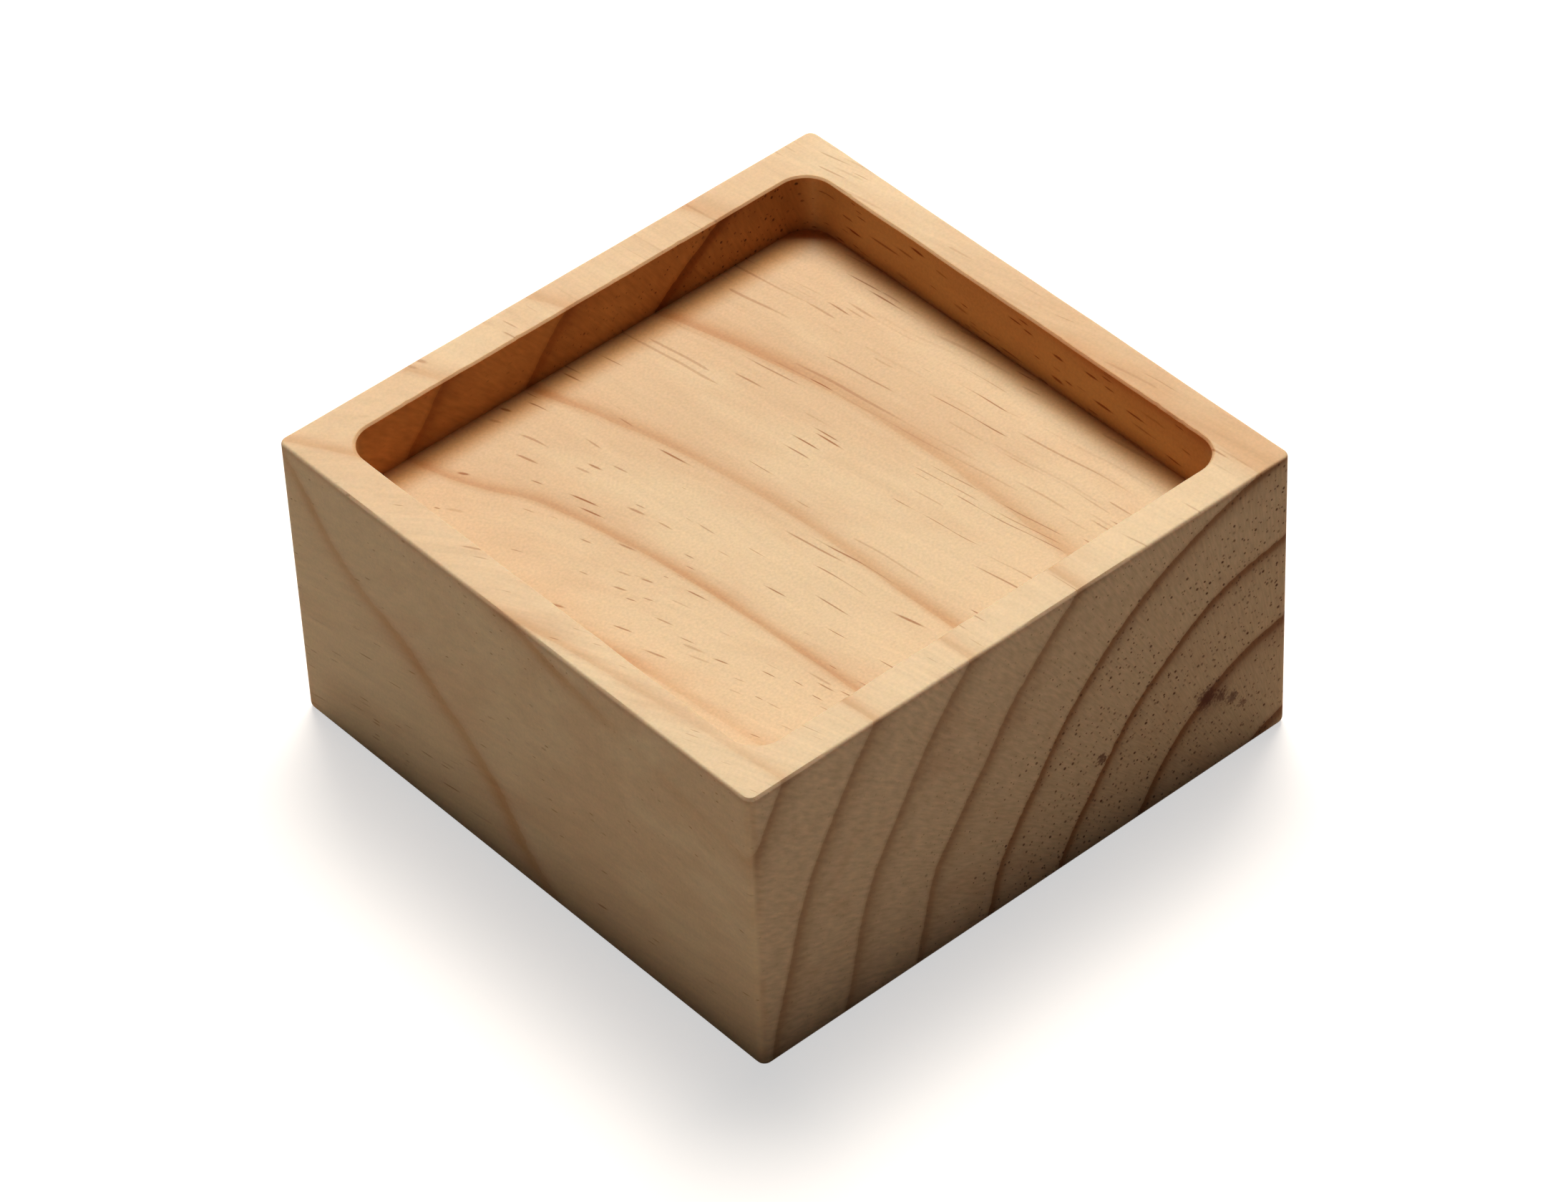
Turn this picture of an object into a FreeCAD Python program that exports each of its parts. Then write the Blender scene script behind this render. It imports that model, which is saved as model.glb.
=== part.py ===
"""Solid pine bed riser: a square block with a shallow square recess in its top for the foot of a bed leg.

The block stands on its underside. Z is up, X runs across the grain, Y runs along the grain, and the
origin is the centre of the underside. All sizes are millimetres.
"""
import FreeCAD, Part
import math
import os
import Sketcher

# Driving dimensions: each name is used in the expressions of the features below.
DIMENSIONS = {
    "block_width": 100.0,        # X, across the grain, between the two long-grain sides
    "block_length": 100.0,       # Y, along the grain, between the two end-grain sides
    "block_height": 51.0,        # Z, underside to top: how far the riser lifts a leg, with the recess depth off
    "rim_width": 6.5,            # wall left round the recess, the same on all four sides
    "recess_depth": 10.0,        # top of the rim down to the recess floor
    "recess_corner_radius": 4.75,  # radius of the cutter that routs the recess
    "side_edge_radius": 1.5,     # the four upright edges, sanded round
    "base_edge_radius": 1.2,     # edges round the underside, sanded round
    "top_edge_radius": 0.5,      # outer edges of the top, lightly eased
    "recess_edge_break": 0.3,    # arris of the recess, a light 45 degree break
}
LEVEL_TOLERANCE = 1e-6           # how far from level a face may lie and still count as level


def add_sheet(doc, dimensions):
    """Put each driving dimension into a spreadsheet row: its name, and its value under that alias."""
    sheet = doc.addObject("Spreadsheet::Sheet", "Dimensions")
    for row, (alias, value) in enumerate(dimensions.items(), start=1):
        sheet.set(f"A{row}", alias)
        sheet.set(f"B{row}", str(value))
        sheet.setAlias(f"B{row}", alias)
    doc.recompute()
    return sheet


def origin_plane(body, role):
    """The body's own origin plane with this role."""
    return next(feature for feature in body.Origin.OriginFeatures if feature.Role == role)


def rounded_rectangle(body, name, width, length, radius):
    """A level sketch of a rectangle with round corners, centred on the origin.

    width, length and radius are expressions on the spreadsheet. The sketch is drawn at a rough size
    first, and its constraints then give it the right one.
    """
    sketch = body.newObject("Sketcher::SketchObject", name)
    sketch.AttachmentSupport = [(origin_plane(body, "XY_Plane"), "")]
    sketch.MapMode = "FlatFace"

    half = 40.0
    corner = 5.0
    straight = half - corner
    up = FreeCAD.Vector(0, 0, 1)
    flats = [((-straight, -half), (straight, -half)), ((half, -straight), (half, straight)),
             ((straight, half), (-straight, half)), ((-half, straight), (-half, -straight))]
    centres = [(straight, -straight), (straight, straight), (-straight, straight), (-straight, -straight)]
    south, east, north, west = [
        sketch.addGeometry(Part.LineSegment(FreeCAD.Vector(*start, 0), FreeCAD.Vector(*end, 0)), False)
        for start, end in flats]
    quarter = math.pi / 2
    corners = [
        sketch.addGeometry(Part.ArcOfCircle(Part.Circle(FreeCAD.Vector(*centre, 0), up, corner),
                                            (turn - 1) * quarter, turn * quarter), False)
        for turn, centre in enumerate(centres)]

    # Each flat runs smoothly into the round corner after it, and that corner into the next flat.
    start_point, end_point, centre_point = 1, 2, 3
    flat_ids = [south, east, north, west]
    for turn, arc in enumerate(corners):
        following = flat_ids[(turn + 1) % len(flat_ids)]
        sketch.addConstraint(Sketcher.Constraint("Tangent", flat_ids[turn], end_point, arc, start_point))
        sketch.addConstraint(Sketcher.Constraint("Tangent", arc, end_point, following, start_point))
    for flat in (south, north):
        sketch.addConstraint(Sketcher.Constraint("Horizontal", flat))
    for flat in (east, west):
        sketch.addConstraint(Sketcher.Constraint("Vertical", flat))
    for arc in corners[1:]:
        sketch.addConstraint(Sketcher.Constraint("Equal", corners[0], arc))
    sketch.addConstraint(Sketcher.Constraint("Symmetric", corners[0], centre_point,
                                             corners[2], centre_point, -1, start_point))

    sizes = [
        ("width", Sketcher.Constraint("DistanceX", west, start_point, east, start_point, 2 * half), width),
        ("length", Sketcher.Constraint("DistanceY", south, start_point, north, start_point, 2 * half), length),
        ("radius", Sketcher.Constraint("Radius", corners[0], corner), radius),
    ]
    for label, constraint, expression in sizes:
        index = sketch.addConstraint(constraint)
        sketch.renameConstraint(index, label)
        sketch.setExpression(f"Constraints.{label}", expression)
    return sketch


def level_face(shape, height):
    """The flat face that lies level at this height."""
    return next(face for face in shape.Faces
                if abs(face.BoundBox.ZMin - height) < LEVEL_TOLERANCE
                and abs(face.BoundBox.ZMax - height) < LEVEL_TOLERANCE)


def edge_names(feature, wire):
    """Names, within the feature, of the edges that make up this wire."""
    return [f"Edge{number}" for number, edge in enumerate(feature.Shape.Edges, start=1)
            if any(edge.isSame(side) for side in wire.Edges)]


def ease_edges(body, kind, name, base, wire, size_property, expression):
    """Round or break every edge of one wire of the base feature, and recompute so that the next can follow."""
    feature = body.newObject(kind, name)
    feature.Base = (base, edge_names(base, wire))
    feature.setExpression(size_property, expression)
    body.Document.recompute()
    return feature


def riser_block(doc, sheet):
    """One piece of pine: the sawn block, the routed recess, then the edges sanded."""
    body = doc.addObject("PartDesign::Body", "RiserBlock")
    body.Label = "riser_block"

    outline = rounded_rectangle(body, "BlockOutline", "Dimensions.block_width", "Dimensions.block_length",
                                "Dimensions.side_edge_radius")
    block = body.newObject("PartDesign::Pad", "Block")
    block.Profile = outline
    block.setExpression("Length", "Dimensions.block_height")

    # The recess is the block's outline less the rim on both sides, cut down from the top with square walls.
    mouth = rounded_rectangle(body, "RecessOutline",
                              "Dimensions.block_width - 2 * Dimensions.rim_width",
                              "Dimensions.block_length - 2 * Dimensions.rim_width",
                              "Dimensions.recess_corner_radius")
    mouth.setExpression("AttachmentOffset.Base.z", "Dimensions.block_height")
    recess = body.newObject("PartDesign::Pocket", "Recess")
    recess.Profile = mouth
    recess.setExpression("Length", "Dimensions.recess_depth")
    doc.recompute()

    underside = level_face(recess.Shape, 0.0)
    base_edges = ease_edges(body, "PartDesign::Fillet", "BaseEdges", recess, underside.OuterWire,
                            "Radius", "Dimensions.base_edge_radius")
    rim = level_face(base_edges.Shape, sheet.block_height)
    top_edges = ease_edges(body, "PartDesign::Fillet", "TopEdges", base_edges, rim.OuterWire,
                           "Radius", "Dimensions.top_edge_radius")
    rim = level_face(top_edges.Shape, sheet.block_height)
    arris = next(wire for wire in rim.Wires if not wire.isSame(rim.OuterWire))
    ease_edges(body, "PartDesign::Chamfer", "RecessArris", top_edges, arris,
               "Size", "Dimensions.recess_edge_break")
    body.Placement = FreeCAD.Placement(FreeCAD.Vector(0, 0, 0), FreeCAD.Rotation())
    return body


def check(doc, parts):
    """Stop if a feature failed, or if a part came out empty or invalid."""
    for feature in doc.Objects:
        if "Invalid" in feature.State or "Error" in feature.State:
            raise RuntimeError(f"{feature.Label} failed: {feature.State}")
    for part in parts:
        if part.Shape.isNull() or not part.Shape.isValid():
            raise RuntimeError(f"{part.Label} has no valid shape")


def main():
    doc = FreeCAD.newDocument("bed_riser")
    sheet = add_sheet(doc, DIMENSIONS)
    parts = [riser_block(doc, sheet)]
    doc.recompute()
    check(doc, parts)

    os.makedirs("parts", exist_ok=True)
    for part in parts:
        part.Shape.exportStep(f"parts/{part.Label}.step")
        box = part.Shape.optimalBoundingBox(False, False)
        print(f"{part.Label}: {box.XLength:.1f} x {box.YLength:.1f} x {box.ZLength:.1f} mm, "
              f"{len(part.Shape.Solids)} solid, {part.Shape.Volume / 1000:.1f} cm3")


main()
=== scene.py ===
# %% [markdown]
# A bed riser in Blender
#
# The object is one square block of pine, about a hand's width across, with a shallow square recess
# in its top for the foot of a bed leg. It is sawn and planed from one plank, the recess is cut with
# a router, and the edges are sanded round and given a thin clear coat.
#
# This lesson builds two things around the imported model: the block as one fine surface worked out
# with numpy, and a solid pine material that is a small model of how the tree grew. Growth rings,
# resin canals and rays are worked out in three dimensions, so the end grain, the long grain and the
# cut walls of the recess agree with each other at every edge, as they do in real timber.

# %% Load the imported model
import math
from collections import namedtuple

import bpy
import numpy as np
from mathutils import Matrix, Vector


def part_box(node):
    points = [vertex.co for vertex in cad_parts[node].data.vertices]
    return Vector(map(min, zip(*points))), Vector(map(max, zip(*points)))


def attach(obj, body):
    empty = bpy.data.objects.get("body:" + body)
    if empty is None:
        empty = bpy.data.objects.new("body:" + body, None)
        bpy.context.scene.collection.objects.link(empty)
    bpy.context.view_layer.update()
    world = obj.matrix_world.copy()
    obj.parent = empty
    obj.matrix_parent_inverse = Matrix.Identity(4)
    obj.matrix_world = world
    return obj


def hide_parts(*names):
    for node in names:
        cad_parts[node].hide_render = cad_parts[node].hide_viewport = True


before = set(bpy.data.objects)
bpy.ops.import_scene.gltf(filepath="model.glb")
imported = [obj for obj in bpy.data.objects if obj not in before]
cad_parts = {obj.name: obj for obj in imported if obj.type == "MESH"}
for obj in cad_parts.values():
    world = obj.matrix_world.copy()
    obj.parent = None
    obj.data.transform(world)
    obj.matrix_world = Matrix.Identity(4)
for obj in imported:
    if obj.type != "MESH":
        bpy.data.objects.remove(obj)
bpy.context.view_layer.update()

NODE = "riser_block"
MM = 0.001

# %% [markdown]
# Sizes
#
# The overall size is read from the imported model, so the surface always fits it. The rest are the
# sizes that a woodworker would set: how wide the rim is left, how deep the router goes, what cutter
# it carries and how far each edge is sanded round. X runs across the grain and Y along it.

# %% Sizes of the block, in metres
low, high = (Vector(corner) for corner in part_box(NODE))
HALF = (high.x - low.x) / 2
HEIGHT = high.z - low.z
RIM = 6.5 * MM
RECESS_DEPTH = 10.0 * MM
CUTTER_RADIUS = 4.75 * MM
SIDE_EDGE = 1.5 * MM
BASE_EDGE = 1.2 * MM
TOP_EDGE = 0.5 * MM
ARRIS = 0.3 * MM
RECESS_FLOOR = HEIGHT - RECESS_DEPTH
RECESS_HALF = HALF - RIM
print(f"block {2 * HALF / MM:.1f} mm square, {HEIGHT / MM:.1f} mm high, "
      f"recess {2 * RECESS_HALF / MM:.1f} mm square")

# %% [markdown]
# Camera
#
# The photograph looks down on one corner of the block from a little under a metre. Placing the
# camera by how far it is turned, how high it is lifted and how far away it stands is easier to
# change by hand than a matrix. The tilt is the small roll of a camera that was not held level.

# %% Camera
AIM = Vector((-1.7, -0.9, 23.6)) * MM
CAMERA_TURN = math.radians(-39.64)
CAMERA_LIFT = math.radians(42.55)
CAMERA_TILT = math.radians(-2.8)
CAMERA_DISTANCE = 0.939
FOCAL_LENGTH_MM = 152.4
SENSOR_WIDTH_MM = 36.0

away = Vector((math.sin(CAMERA_TURN) * math.cos(CAMERA_LIFT),
               -math.cos(CAMERA_TURN) * math.cos(CAMERA_LIFT),
               math.sin(CAMERA_LIFT)))
facing = away.to_track_quat("Z", "Y").to_matrix().to_4x4()
lens = bpy.data.cameras.new("camera")
lens.lens = FOCAL_LENGTH_MM
lens.sensor_width = SENSOR_WIDTH_MM
camera = bpy.data.objects.new("camera", lens)
camera.matrix_world = (Matrix.Translation(AIM + away * CAMERA_DISTANCE)
                       @ facing @ Matrix.Rotation(CAMERA_TILT, 4, "Z"))
bpy.context.collection.objects.link(camera)
bpy.context.scene.camera = camera
bpy.context.scene.view_settings.view_transform = "Standard"
print("camera at", [round(value, 3) for value in camera.matrix_world.translation])

# %% [markdown]
# Node helper
#
# Every material below is made of nodes. One function adds a node: its settings are keyword
# arguments, and each input is given either a plain value or the node or socket that feeds it. Inputs
# go by name or by number: in a Mix node 2 and 3 are its two numbers, and 6 and 7 its two colours.

# %% Node helper
MATH = "ShaderNodeMath"
VECTOR = "ShaderNodeVectorMath"
NOISE = "ShaderNodeTexNoise"
RANGE = "ShaderNodeMapRange"
MIX = "ShaderNodeMix"
SPLIT = "ShaderNodeSeparateXYZ"


def add(tree, kind, inputs=None, **settings):
    """Add a node to the tree, set its properties, and fill its inputs with values or with links.

    A node given as a value feeds the input from its first output in use.
    """
    node = tree.nodes.new(kind)
    for name, value in settings.items():
        setattr(node, name, value)
    for key, value in (inputs or {}).items():
        if isinstance(value, bpy.types.Node):
            value = next(socket for socket in value.outputs if socket.enabled)
        if isinstance(value, bpy.types.NodeSocket):
            tree.links.new(value, node.inputs[key])
        else:
            node.inputs[key].default_value = value
    return node


def linear(code):
    """Turn an sRGB hex colour into the linear colour that Blender's sockets take.

    This is the sRGB standard's own curve: a short straight piece near black, and then a power.
    """
    channels = [int(code[start:start + 2], 16) / 255 for start in (1, 3, 5)]
    return tuple(value / 12.92 if value <= 0.04045 else ((value + 0.055) / 1.055) ** 2.4
                 for value in channels) + (1.0,)


def new_material(name):
    """An empty material, and its node tree."""
    material = bpy.data.materials.new(name)
    material.use_nodes = True
    material.node_tree.nodes.clear()
    return material, material.node_tree


print("mid grey #808080 is", round(linear("#808080")[0], 3), "in linear light")

# %% [markdown]
# Light and floor
#
# The block stands in a white studio under one softbox that hangs a little behind it. The top is lit
# full on, while the two sides that face the camera get only the light that the floor throws back,
# which is why they look so much darker than the top. So the floor has to reflect light as a real
# board does, and this one is a warm white. What the camera sees of it is lifted with a little
# emission on camera, glossy and transmission rays alone: the board looks white, its shadow stays,
# and no light is added to the block.

# %% Softbox
LIGHT_DIRECTION = Vector((0.313, 0.298, 0.901)).normalized()
LIGHT_DISTANCE = 1.72
LIGHT_WIDTH = 0.88
LIGHT_POWER = 37.0

softbox = bpy.data.lights.new("softbox", "AREA")
softbox.shape = "SQUARE"
softbox.size = LIGHT_WIDTH
softbox.energy = LIGHT_POWER
lamp = bpy.data.objects.new("softbox", softbox)
lamp.location = Vector((0, 0, HEIGHT)) + LIGHT_DIRECTION * LIGHT_DISTANCE
lamp.rotation_euler = LIGHT_DIRECTION.to_track_quat("Z", "Y").to_euler()
lamp.visible_camera = False
lamp.visible_glossy = False
bpy.context.collection.objects.link(lamp)
print(f"softbox {LIGHT_WIDTH} m wide, {LIGHT_DISTANCE} m from the block, {LIGHT_POWER:.0f} W")

# %% Floor of warm white board
FLOOR_WIDTH = 6.0
FLOOR_COLOUR = linear("#D6CCC0")
FLOOR_LIFT = 0.6
corner = FLOOR_WIDTH / 2
floor_mesh = bpy.data.meshes.new("floor")
floor_mesh.from_pydata([(-corner, -corner, 0), (corner, -corner, 0), (corner, corner, 0),
                        (-corner, corner, 0)], [], [(0, 1, 2, 3)])
floor = bpy.data.objects.new("floor", floor_mesh)
bpy.context.collection.objects.link(floor)

board, tree = new_material("white_board")
rays = add(tree, "ShaderNodeLightPath")
seen = add(tree, MATH, {0: rays.outputs["Is Camera Ray"], 1: rays.outputs["Is Glossy Ray"]},
           operation="MAXIMUM")
seen = add(tree, MATH, {0: seen, 1: rays.outputs["Is Transmission Ray"]}, operation="MAXIMUM")
lift = add(tree, MATH, {0: seen, 1: FLOOR_LIFT}, operation="MULTIPLY")
reflecting = add(tree, "ShaderNodeBsdfDiffuse", {"Color": FLOOR_COLOUR})
glowing = add(tree, "ShaderNodeEmission", {"Color": (1, 1, 1, 1), "Strength": lift})
both = add(tree, "ShaderNodeAddShader", {0: reflecting, 1: glowing})
add(tree, "ShaderNodeOutputMaterial", {"Surface": both})
floor_mesh.materials.append(board)
print(f"floor {FLOOR_WIDTH:.0f} m wide, reflecting {[round(part, 2) for part in FLOOR_COLOUR[:3]]}")

# %% Studio air: white to the camera, and only a faint fill on the block
FILL = 0.02
world = bpy.data.worlds.new("studio")
bpy.context.scene.world = world
world.use_nodes = True
tree = world.node_tree
tree.nodes.clear()
rays = add(tree, "ShaderNodeLightPath")
seen = add(tree, MATH, {0: rays.outputs["Is Camera Ray"], 1: rays.outputs["Is Transmission Ray"]},
           operation="MAXIMUM")
level = add(tree, RANGE, {"Value": seen, "To Min": FILL, "To Max": 1.0})
air = add(tree, "ShaderNodeBackground", {"Color": (1, 1, 1, 1), "Strength": level})
add(tree, "ShaderNodeOutputWorld", {"Surface": air})
print(f"the air lights the block with {FILL:.0%} of the white that the camera sees")

# %% [markdown]
# The block's surface
#
# The block could be a cube with bevels and a boolean, but a block like this is easier to control as
# one family of rounded squares. Start as a point at the centre of the underside, grow to the full
# square, climb the side, turn in over the rim, go down the wall of the recess and shrink to a point
# at the middle of its floor. Each ring of points is one rounded square, and every point of a ring
# keeps its number all the way, so the points form a grid with no seam to stitch.
#
# A rounded square is easy to work out for all its points at once: each point is a spot on a plain
# square plus a step of the corner's radius along the direction that the surface faces there.

# %% Points round a rounded square
STRAIGHT_STEPS = 150
CORNER_STEPS = 10


def square_columns(straight, bend):
    """The spot on a square of half-width 1, and the direction faced there, for each point of a ring.

    Along a side the spot runs from one corner to the next and the direction stays. Round a corner
    the spot stays and the direction turns by a right angle.
    """
    along = np.linspace(-1, 1, straight, endpoint=False)
    turning = np.linspace(0, math.pi / 2, bend, endpoint=False)
    spot = np.concatenate([np.stack([np.ones(straight), along], axis=1), np.ones((bend, 2))])
    angle = np.concatenate([np.zeros(straight), turning])
    sides = np.arange(4) * math.pi / 2
    turn = np.array([[np.cos(sides), -np.sin(sides)], [np.sin(sides), np.cos(sides)]])
    spots = np.einsum("ijk,nj->kni", turn, spot).reshape(-1, 2)
    angles = (angle[None, :] + sides[:, None]).reshape(-1)
    return spots, np.stack([np.cos(angles), np.sin(angles)], axis=1)


SPOTS, FACING = square_columns(STRAIGHT_STEPS, CORNER_STEPS)
print("points in a ring:", len(SPOTS))

# %% [markdown]
# The profile
#
# The profile says, for each ring, how large its plain square is, how far it steps out from it and
# how high it lies. Rings stand close together where the surface turns, and far apart where it is
# flat. The step is the radius of the ring's corners, so where an edge is sanded round, only the step
# and the height change, and the corners stay concentric as they do under a real sanding block. The
# first ring and the last are tiny: the plain square is divided by 100 there, and the step by 1000.

# %% Profile from the underside to the floor of the recess


def stretch(start, end, steps):
    """Rings from one (square, step, height) to another in equal parts, without the last."""
    share = np.linspace(0, 1, steps, endpoint=False)[:, None]
    return np.array(start) * (1 - share) + np.array(end) * share


def rounded(square, step, height, radius, first, last, steps):
    """Rings over a round edge: the step and height follow an arc about (step, height)."""
    angle = np.linspace(first, last, steps, endpoint=False)
    return np.stack([np.full(steps, square), step + radius * np.cos(angle),
                     height + radius * np.sin(angle)], axis=1)


CENTRE_SQUARE, CENTRE_STEP = 100, 1000
outer = HALF - SIDE_EDGE
inner = RECESS_HALF - CUTTER_RADIUS
quarter = math.pi / 2
lip = 0.6 * MM
sections = {
    "underside": stretch((outer / CENTRE_SQUARE, SIDE_EDGE / CENTRE_STEP, 0),
                         (outer, SIDE_EDGE - BASE_EDGE, 0), 20),
    "base_edge": rounded(outer, SIDE_EDGE - BASE_EDGE, BASE_EDGE, BASE_EDGE, -quarter, 0, 7),
    "side": stretch((outer, SIDE_EDGE, BASE_EDGE), (outer, SIDE_EDGE, HEIGHT - TOP_EDGE), 44),
    "top_edge": rounded(outer, SIDE_EDGE - TOP_EDGE, HEIGHT - TOP_EDGE, TOP_EDGE, 0, quarter, 5),
    "rim": stretch((outer, SIDE_EDGE - TOP_EDGE, HEIGHT),
                   (inner, CUTTER_RADIUS + ARRIS + lip, HEIGHT), 8),
    "rim_lip": stretch((inner, CUTTER_RADIUS + ARRIS + lip, HEIGHT),
                       (inner, CUTTER_RADIUS + ARRIS, HEIGHT), 2),
    "arris": stretch((inner, CUTTER_RADIUS + ARRIS, HEIGHT), (inner, CUTTER_RADIUS, HEIGHT - ARRIS), 2),
    "wall": stretch((inner, CUTTER_RADIUS, HEIGHT - ARRIS), (inner, CUTTER_RADIUS, RECESS_FLOOR), 14),
    "floor": stretch((inner, CUTTER_RADIUS, RECESS_FLOOR),
                     (inner / CENTRE_SQUARE, CUTTER_RADIUS / CENTRE_STEP, RECESS_FLOOR), 24),
}
PROFILE = np.concatenate(list(sections.values()))
SECTION = np.repeat(list(sections), [len(rings) for rings in sections.values()])
print("rings:", {name: len(rings) for name, rings in sections.items()})

# %% [markdown]
# Wear of the cutter and the sanding block
#
# No routed edge is perfectly straight. The wall wanders by a tenth of a millimetre as the cutter is
# pushed along, the arris round the mouth is uneven where soft and hard wood broke away differently,
# and the outer edges were eased by hand. These are small changes of the step, so they are worked
# out as smooth waves along the ring and faded in and out over the rings of the profile. All of them
# take wood away, so nothing grows out of the block.

# %% Wander and nicks along a ring
SEED = 27
NARROWEST, SHALLOWEST = 0.5, 0.3
chance = np.random.default_rng(SEED)
distance = np.cumsum(np.full(len(SPOTS), 8 * HALF / len(SPOTS)))


def waves(shortest, longest, count):
    """A smooth wander between 0 and 1 along a ring: sines of random length and phase, added up.

    Each sine goes a whole number of times round the ring, so the wander closes on itself.
    """
    around = distance / distance[-1] * 2 * math.pi
    turns = np.round(distance[-1] / chance.uniform(shortest, longest, count))
    phases = chance.uniform(0, 2 * math.pi, count)
    total = np.sin(around[:, None] * turns + phases).mean(axis=1)
    return (total - total.min()) / (total.max() - total.min())


def nicks(count, width, depth):
    """Small dips along a ring, each a bell curve of random place, width and depth.

    The widths go down to NARROWEST of the largest, and the depths to SHALLOWEST of the deepest.
    """
    places = chance.uniform(0, distance[-1], count)
    widths = chance.uniform(NARROWEST, 1, count) * width
    depths = chance.uniform(SHALLOWEST, 1, count) * depth
    apart = np.abs(distance[:, None] - places)
    return (np.exp(-(apart / widths) ** 2) * depths).max(axis=1)


print(f"the plain square is {distance[-1] / MM:.0f} mm round")

# %% Unevenness of the edges
FADES = {"rim_lip": (0.0, 0.5), "arris": (1.0, 0.75), "wall": (0.5, 0.25)}
MOUTH_MM, WALL_MM, EASED_MM = 0.07, 0.12, 0.12
EASING = 0.7
mouth = (waves(shortest=2.2 * MM, longest=9 * MM, count=9) * MOUTH_MM * MM
         + nicks(count=30, width=0.6 * MM, depth=0.16 * MM))
wall = waves(shortest=9 * MM, longest=40 * MM, count=6) * WALL_MM * MM
ease = waves(shortest=12 * MM, longest=60 * MM, count=7) * EASED_MM * MM

steps = np.repeat(PROFILE[:, 1][:, None], len(SPOTS), axis=1)
heights = np.repeat(PROFILE[:, 2][:, None], len(SPOTS), axis=1)
for name, (first, last) in FADES.items():
    rings = np.flatnonzero(SECTION == name)
    steps[rings] += np.linspace(first, last, len(rings))[:, None] * mouth
steps[SECTION == "wall"] += wall
steps[SECTION == "arris"] += wall
over_edge = np.flatnonzero(SECTION == "top_edge")
bulge = np.sin(np.linspace(0, math.pi, len(over_edge)))[:, None]
steps[over_edge] -= bulge * ease * EASING
heights[over_edge] -= bulge * ease * EASING
print(f"mouth wanders {np.ptp(mouth) / MM:.2f} mm, wall {np.ptp(wall) / MM:.2f} mm")

# %% [markdown]
# From grid to mesh
#
# Each quad joins two neighbours on one ring to the same two on the next. The two ends close in a fan
# of triangles about one point. The order of the corners is what makes a face look outwards: round
# the ring anticlockwise, then on to the next ring.

# %% Make the mesh
SHARP_ANGLE = math.radians(35)


def closed_mesh(name, points, start_pole, end_pole):
    """A mesh from a grid of rings by points, closed round each ring and by a pole at either end."""
    rings, columns = points.shape[:2]
    vertices = np.concatenate([points.reshape(-1, 3), [start_pole, end_pole]])
    number = np.arange(rings * columns).reshape(rings, columns)
    following = np.roll(number, -1, axis=1)
    quads = np.stack([number[:-1], following[:-1], following[1:], number[1:]], axis=-1).reshape(-1, 4)
    poles = np.full((2, columns), [[rings * columns], [rings * columns + 1]])
    start_fan = np.stack([poles[0], following[0], number[0]], axis=1)
    end_fan = np.stack([number[-1], following[-1], poles[1]], axis=1)
    mesh = bpy.data.meshes.new(name)
    mesh.from_pydata(vertices, [], quads.tolist() + start_fan.tolist() + end_fan.tolist())
    return mesh


flat = PROFILE[:, 0][:, None, None] * SPOTS + steps[:, :, None] * FACING
points = np.concatenate([flat, heights[:, :, None]], axis=2)
mesh = closed_mesh("pine_block", points, (0, 0, 0), (0, 0, RECESS_FLOOR))
mesh.shade_smooth()
mesh.set_sharp_from_angle(angle=SHARP_ANGLE)
print("vertices:", len(mesh.vertices), "faces:", len(mesh.polygons))

# %% [markdown]
# The material has to know which part of the surface the router cut, so the mesh carries a value for
# it: 1 on the walls and the floor of the recess, a little less than half on the arris, which is part
# cut and part sanded, and 0 elsewhere. Then the block takes its place over the imported model.

# %% Mark what was routed, and place the block
# on the two far sides this share also gives the arris part of the painted shade and shadow of the recess
ARRIS_ROUTED_SHARE = 0.45
routed_rings = np.isin(SECTION, ["wall", "floor"]) + ARRIS_ROUTED_SHARE * (SECTION == "arris")
routed = np.zeros(len(mesh.vertices), dtype=np.float32)
routed[:-2] = np.repeat(routed_rings, len(SPOTS))
routed[-1] = 1
mesh.attributes.new("routed", "FLOAT", "POINT").data.foreach_set("value", routed)
block = bpy.data.objects.new("pine_block", mesh)
bpy.context.collection.objects.link(block)
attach(block, "root")
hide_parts(NODE)
print(f"{routed.mean():.0%} of the vertices lie where the router cut")

# %% [markdown]
# How pine grows
#
# A trunk is a stack of cones, one grown outside another each year. Cut square across, they are rings
# round the pith. Cut lengthwise, the same rings are long bands. In this plank the pith lies outside
# the block, beyond the lower right corner of the near end, and the trunk leans and tapers, so the
# rings wander as they go along the block.
#
# The material works out for each point how far it lies from the pith, in millimetres of the near
# end's rings. That one number says which ring the point is in, and how late in the year it grew.

# %% Growth: distance from the pith
PITH = (54.2, 0.0, -27.6)
PITH_LEAN = (12.4, 0.0, -14.7)
LENGTH_MM = 100.0
OVAL = (1.0, 0.0, 0.842)
TAPER = 0.204
FAR_TAPER = 0.038
FAR_FROM, FAR_LENGTH = -15.0, 60.0
SWAY_LENGTH = 22.0
SWAY_ALONG = 0.3
SWAY = 2.0
CORNER_BEARING = math.radians(148.5)
CORNER_REACH = math.radians(11)
CORNER_HEIGHT = 1.1
BULGES = [((-50, -17, 2), 40, -2.2), ((-50, 37, 35), 20, -1.2), ((-31, 36, 41), 16, 1.2),
          ((6, -50, 0), 34, -1.1)]


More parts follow.
